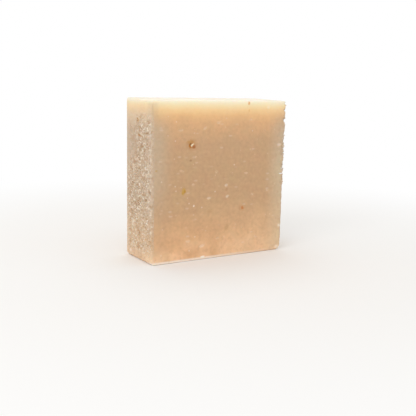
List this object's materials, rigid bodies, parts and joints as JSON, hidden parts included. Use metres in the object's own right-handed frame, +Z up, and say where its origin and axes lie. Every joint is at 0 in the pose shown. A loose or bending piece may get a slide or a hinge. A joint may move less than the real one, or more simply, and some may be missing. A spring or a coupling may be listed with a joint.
{
  "type": "bar of soap",
  "caption": "Plain hand-cut bar of cured soap, a near-square block with softened edges, small open bubbles and crumbly narrow sides, standing on its foot.",
  "frame": {"origin": "on the foot, the narrow face that the bar stands on, below the middle of the bar", "axes": "+Z up, +Y through the thickness from the smooth face to the back, +X along the width"},
  "size_m": [0.0683, 0.0246, 0.0694],
  "materials": {
    "soap": "matt, waxy, slightly translucent cured soap"
  },
  "bodies": {
    "root": {"soap_bar": "soap"}
  },
  "joints": []
}
